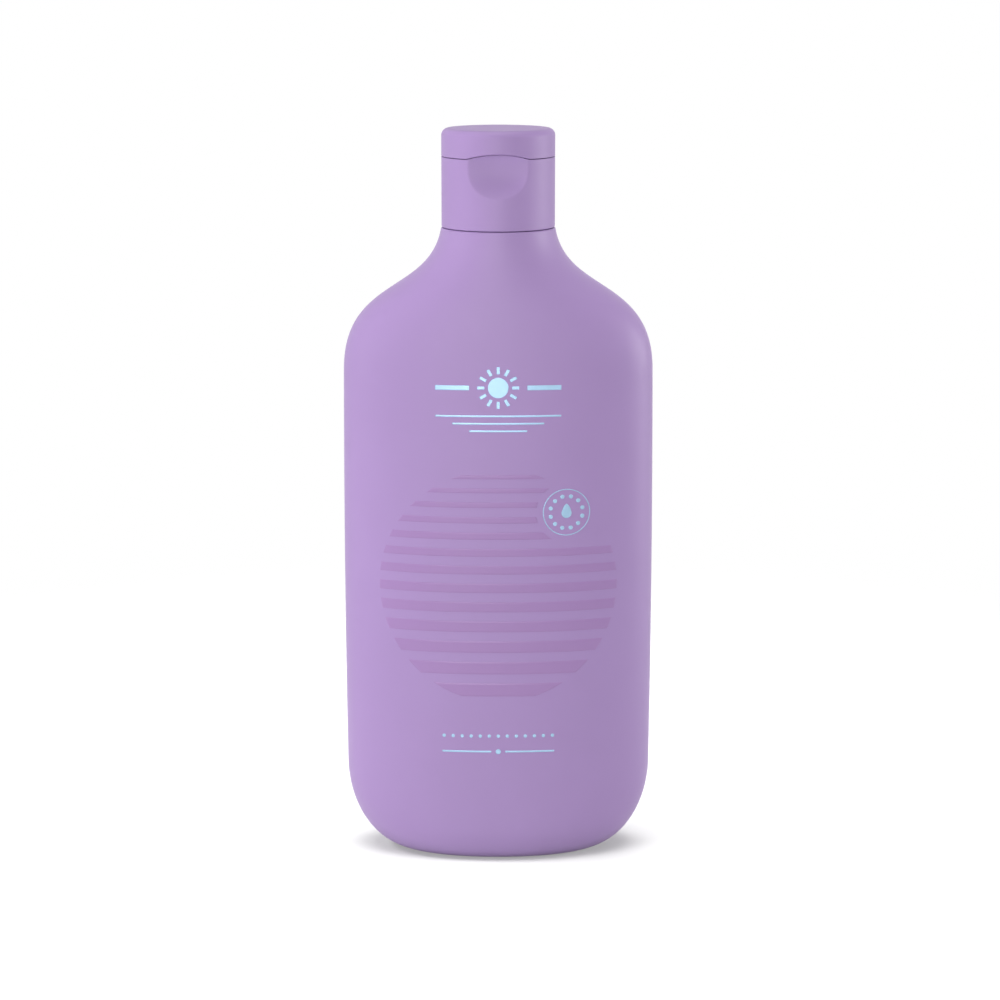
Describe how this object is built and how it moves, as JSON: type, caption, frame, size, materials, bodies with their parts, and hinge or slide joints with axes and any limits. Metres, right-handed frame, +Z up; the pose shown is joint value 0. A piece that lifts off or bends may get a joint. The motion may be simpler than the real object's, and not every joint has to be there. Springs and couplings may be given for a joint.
{
  "type": "sunscreen bottle",
  "caption": "Flat oval lotion bottle with rounded shoulders, a threaded neck and a screw-on closure with a flip-up lid.",
  "frame": {"origin": "middle of the base, on the surface the bottle stands on", "axes": "+Z up along the bottle's axis, +X to the right across its width, -Y towards the front with the thumb scoop"},
  "size_m": [0.0708, 0.031, 0.1676],
  "materials": {
    "bottle_plastic": "soft satin lilac, coloured through",
    "closure_plastic": "soft satin lilac, coloured through",
    "gasket_foam": "white closed-cell foam",
    "foil_print": "pale blue hot-stamped foil"
  },
  "bodies": {
    "bottle": {"bottle_shell": "bottle_plastic"},
    "gasket": {"neck_gasket": "gasket_foam"},
    "closure": {"closure_base": "closure_plastic", "hinge_film_left": "closure_plastic", "hinge_film_right": "closure_plastic", "snap_strap": "closure_plastic"},
    "lid": {"flip_lid": "closure_plastic"}
  },
  "joints": [
    {"name": "cap_lift", "type": "slide", "parent": "bottle", "child": "gasket", "axis": [0, 0, 1], "range_m": [0, 0.00476]},
    {"name": "cap_turn", "type": "hinge", "parent": "gasket", "child": "closure", "pos_m": [0, 0, 0.15985], "axis": [0, 0, 1], "range_deg": [0, 540]},
    {"name": "lid_flip", "type": "hinge", "parent": "closure", "child": "lid", "pos_m": [0, 0.01213, 0.16132], "axis": [-1, 0, 0], "range_deg": [0, 150], "deforming": ["hinge_film_left", "hinge_film_right", "snap_strap"]}
  ],
  "couplings": [
    {"joint": "cap_lift", "follows": "cap_turn", "m_per_rad": 0.00050532}
  ]
}
